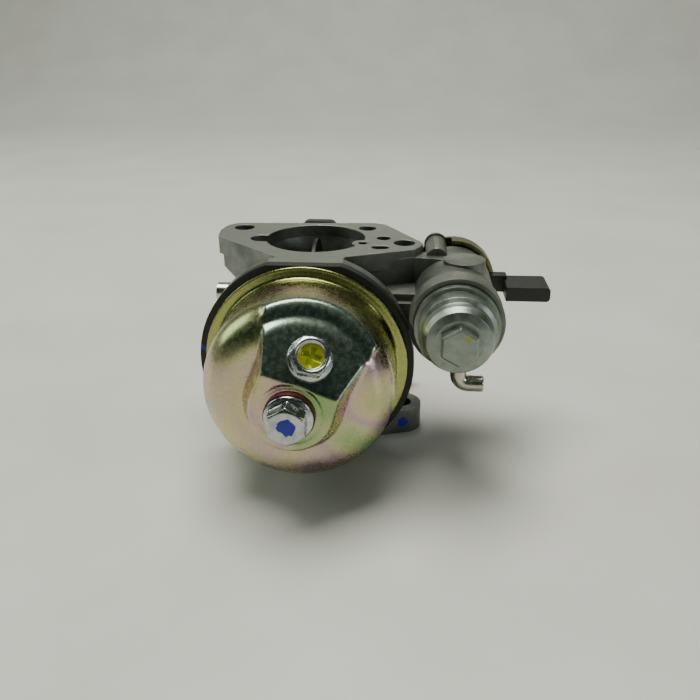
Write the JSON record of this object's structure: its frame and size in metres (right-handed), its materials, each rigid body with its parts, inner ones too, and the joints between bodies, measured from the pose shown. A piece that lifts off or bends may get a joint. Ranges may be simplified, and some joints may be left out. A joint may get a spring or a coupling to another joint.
{
  "type": "carburetor",
  "caption": "Float-bowl carburetor for a large single-cylinder engine: throttle and choke butterflies, fuel tap with sediment cup, yellow-zinc bowl.",
  "frame": {"origin": "centre of the throat at the engine flange's face", "axes": "+Z along the throat towards the air cleaner, -Y towards the float bowl (down in service), +X towards the fuel tap"},
  "size_m": [0.1104, 0.1056, 0.0667],
  "materials": {
    "cast_body": "die-cast, as cast with a machined face",
    "rubber_seal": "matt black",
    "bowl_steel": "drawn steel, yellow zinc plated",
    "zinc_bolt": "bright zinc plated",
    "fibre_washer": "red vulcanised fibre",
    "soft_washer": "soft aluminium",
    "brass_part": "turned brass",
    "needle_alloy": "turned, rubber tipped",
    "steel_part": "plain steel",
    "dark_steel": "carbon steel, blackened",
    "float_plastic": "moulded foam plastic",
    "cup_casting": "zinc die casting, satin",
    "strainer_plastic": "moulded frame with woven gauze",
    "nipple_steel": "nickel plated",
    "black_plastic": "moulded black nylon",
    "plate_steel": "pressed steel, yellow zinc plated"
  },
  "bodies": {
    "housing": {"bowl_bolt": "zinc_bolt", "bowl_bolt_washer": "fibre_washer", "bowl_gasket": "rubber_seal", "carburetor_body": "cast_body", "choke_seal": "rubber_seal", "cup_o_ring": "rubber_seal", "drain_bolt": "zinc_bolt", "drain_nut": "bowl_steel", "drain_washer": "soft_washer", "float_bowl": "bowl_steel", "float_pin": "steel_part", "fuel_nipple": "nipple_steel", "fuel_strainer": "strainer_plastic", "idle_screw_spring": "steel_part", "lever_plate": "plate_steel", "lever_plate_screws": "zinc_bolt", "lever_spring": "steel_part", "main_jet": "brass_part", "main_nozzle": "brass_part", "needle_seat": "brass_part", "passage_plug": "brass_part", "pilot_jet": "black_plastic", "pilot_jet_o_ring": "rubber_seal", "pilot_screw_spring": "steel_part", "sediment_cup": "cup_casting", "throttle_seal": "rubber_seal", "valve_packing": "rubber_seal"},
    "throttle": {"throttle_shaft": "steel_part", "throttle_valve": "brass_part", "throttle_valve_screws": "zinc_bolt", "throttle_lever": "black_plastic"},
    "choke": {"choke_shaft": "dark_steel", "choke_valve": "dark_steel", "choke_valve_screws": "zinc_bolt", "choke_lever": "black_plastic"},
    "fuel_tap": {"fuel_lever": "black_plastic"},
    "float": {"chamber_float": "float_plastic"},
    "needle": {"needle_valve": "needle_alloy"},
    "idle_adjuster": {"idle_screw": "black_plastic"},
    "mixture_adjuster": {"pilot_screw": "nipple_steel"}
  },
  "joints": [
    {"name": "throttle_turn", "type": "hinge", "parent": "housing", "child": "throttle", "pos_m": [0, 0, 0.014], "axis": [0, -1, 0], "range_deg": [0, 75]},
    {"name": "choke_turn", "type": "hinge", "parent": "housing", "child": "choke", "pos_m": [0, 0, 0.051], "axis": [0, 1, 0], "range_deg": [0, 90]},
    {"name": "fuel_tap_turn", "type": "hinge", "parent": "housing", "child": "fuel_tap", "pos_m": [0.0452, 0, 0.0514], "axis": [0, 1, 0], "range_deg": [0, 90]},
    {"name": "float_swing", "type": "hinge", "parent": "housing", "child": "float", "pos_m": [0.021, -0.032, 0.0348], "axis": [0, 0, 1], "range_deg": [0, 8]},
    {"name": "needle_slide", "type": "slide", "parent": "housing", "child": "needle", "axis": [0, -1, 0], "range_m": [0, 0.0007]},
    {"name": "idle_screw_turn", "type": "hinge", "parent": "housing", "child": "idle_adjuster", "pos_m": [-0.018, 0.0264, 0.03], "axis": [0, 0, 1], "range_deg": [-180, 180]},
    {"name": "mixture_screw_turn", "type": "hinge", "parent": "housing", "child": "mixture_adjuster", "pos_m": [-0.027, -0.006, 0.0488], "axis": [1, 0, 0], "range_deg": [-180, 180]}
  ],
  "couplings": [
    {"joint": "needle_slide", "follows": "float_swing", "m_per_rad": 0.005}
  ]
}
